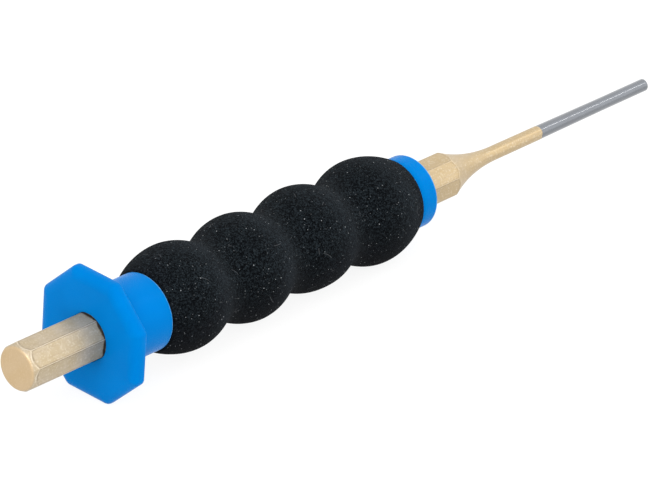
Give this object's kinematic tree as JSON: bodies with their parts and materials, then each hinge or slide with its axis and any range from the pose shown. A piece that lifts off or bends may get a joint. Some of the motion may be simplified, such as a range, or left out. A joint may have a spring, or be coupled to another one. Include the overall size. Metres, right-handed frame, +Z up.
{
  "type": "pin punch",
  "caption": "Pin punch of octagonal bar with a hollow-turned neck and a slim ground pin, held in a push-on octagonal hand guard with a foam finger grip.",
  "frame": {"origin": "centre of the struck face, on the axis of the punch", "axes": "+X along the axis from the struck face to the tip of the pin, +Z up with a flat of the hand guard lying on the bench below"},
  "size_m": [0.2756, 0.039, 0.039],
  "materials": {
    "lacquered_steel": "pale gold clear lacquer on forged tool steel",
    "ground_steel": "tool steel, cylindrically ground and left bare",
    "blue_moulding": "satin moulded polypropylene",
    "black_foam": "matte closed-cell rubber foam"
  },
  "bodies": {
    "punch": {"shank": "lacquered_steel", "pin": "ground_steel"},
    "grip": {"hand_guard": "blue_moulding", "foam_grip": "black_foam", "front_collar": "blue_moulding"}
  },
  "joints": [
    {"name": "grip_slide", "type": "slide", "parent": "punch", "child": "grip", "axis": [1, 0, 0], "range_m": [-0.0255, 0.012]}
  ]
}
